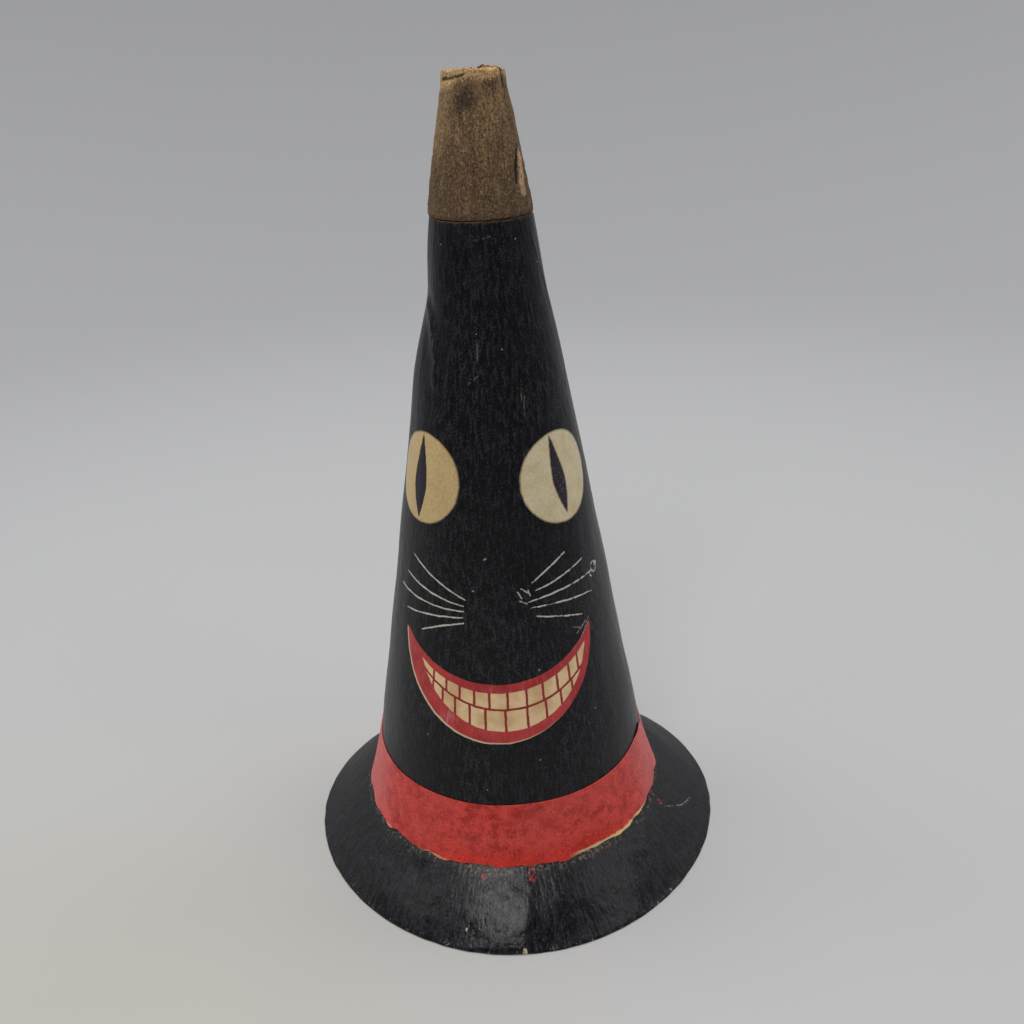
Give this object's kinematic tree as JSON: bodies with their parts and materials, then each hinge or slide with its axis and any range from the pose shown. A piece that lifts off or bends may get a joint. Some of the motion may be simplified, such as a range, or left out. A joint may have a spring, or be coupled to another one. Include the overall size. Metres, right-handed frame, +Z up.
{
  "type": "paper witch hat",
  "caption": "Small paper witch hat: tapered crown of rolled board with a bare tip, black printed cover with a cat face, red band and sloping brim.",
  "frame": {"origin": "on the crown's axis, at the level of the brim's edge, where the hat stands", "axes": "+Z up the crown's axis to the tip; the printed face looks along -Y; +X is to the viewer's right"},
  "size_m": [0.1094, 0.1046, 0.1913],
  "materials": {
    "kraft_board": "bare brown board, stained and rubbed, with a torn pale edge",
    "black_printed_paper": "satin black print with cream eyes and whiskers and a red mouth with cream teeth",
    "red_paper": "matt mottled red, brighter along the lower edge",
    "black_painted_pulp": "brushed gloss black paint over pressed pulp"
  },
  "bodies": {
    "root": {"cone_core": "kraft_board", "crown_cover": "black_printed_paper", "hat_band": "red_paper", "brim": "black_painted_pulp"}
  },
  "joints": []
}
